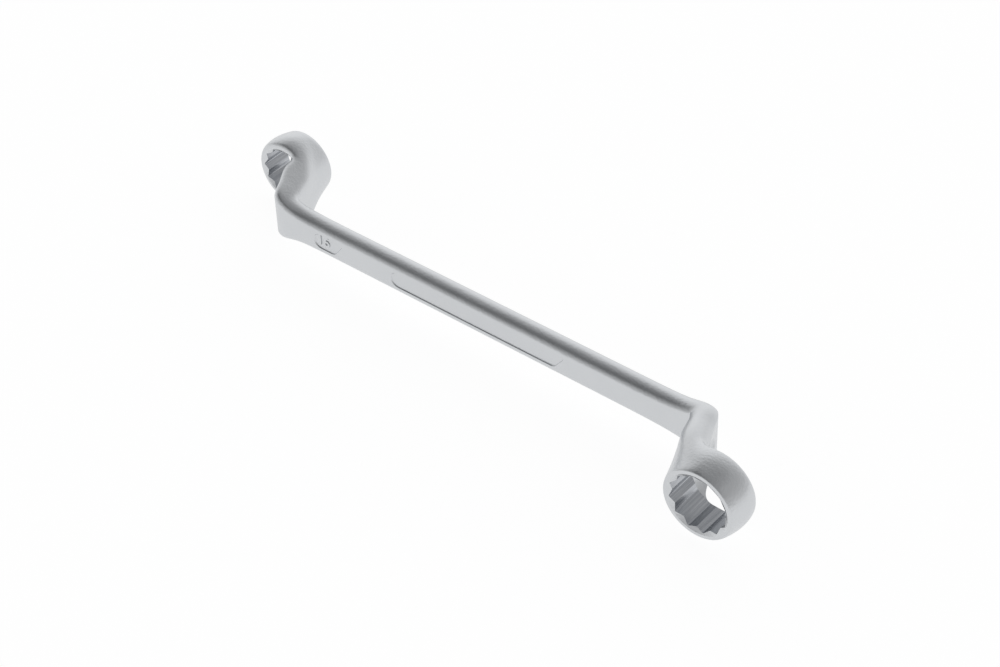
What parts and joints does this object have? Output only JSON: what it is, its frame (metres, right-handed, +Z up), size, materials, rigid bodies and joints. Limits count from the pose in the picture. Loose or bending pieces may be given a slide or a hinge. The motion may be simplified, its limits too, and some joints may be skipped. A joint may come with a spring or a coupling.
{
  "type": "double ring spanner",
  "caption": "Deep-offset double ring spanner: a slim forged shank with a cranked neck and a multi-point ring head at each end, for turning hexagon nuts and bolt heads.",
  "frame": {"origin": "on the floor under the middle of the bounding box, with the spanner standing on the rims of its rings", "axes": "+X along the shank towards the large ring, +Z up, -Y out of the front face that carries the panels; the large ring is offset to -Y and the small ring to +Y"},
  "size_m": [0.2198, 0.0538, 0.0258],
  "materials": {
    "satin_chrome": "satin chrome plate over a blasted drop forging"
  },
  "bodies": {
    "root": {"spanner_forging": "satin_chrome"}
  },
  "joints": []
}
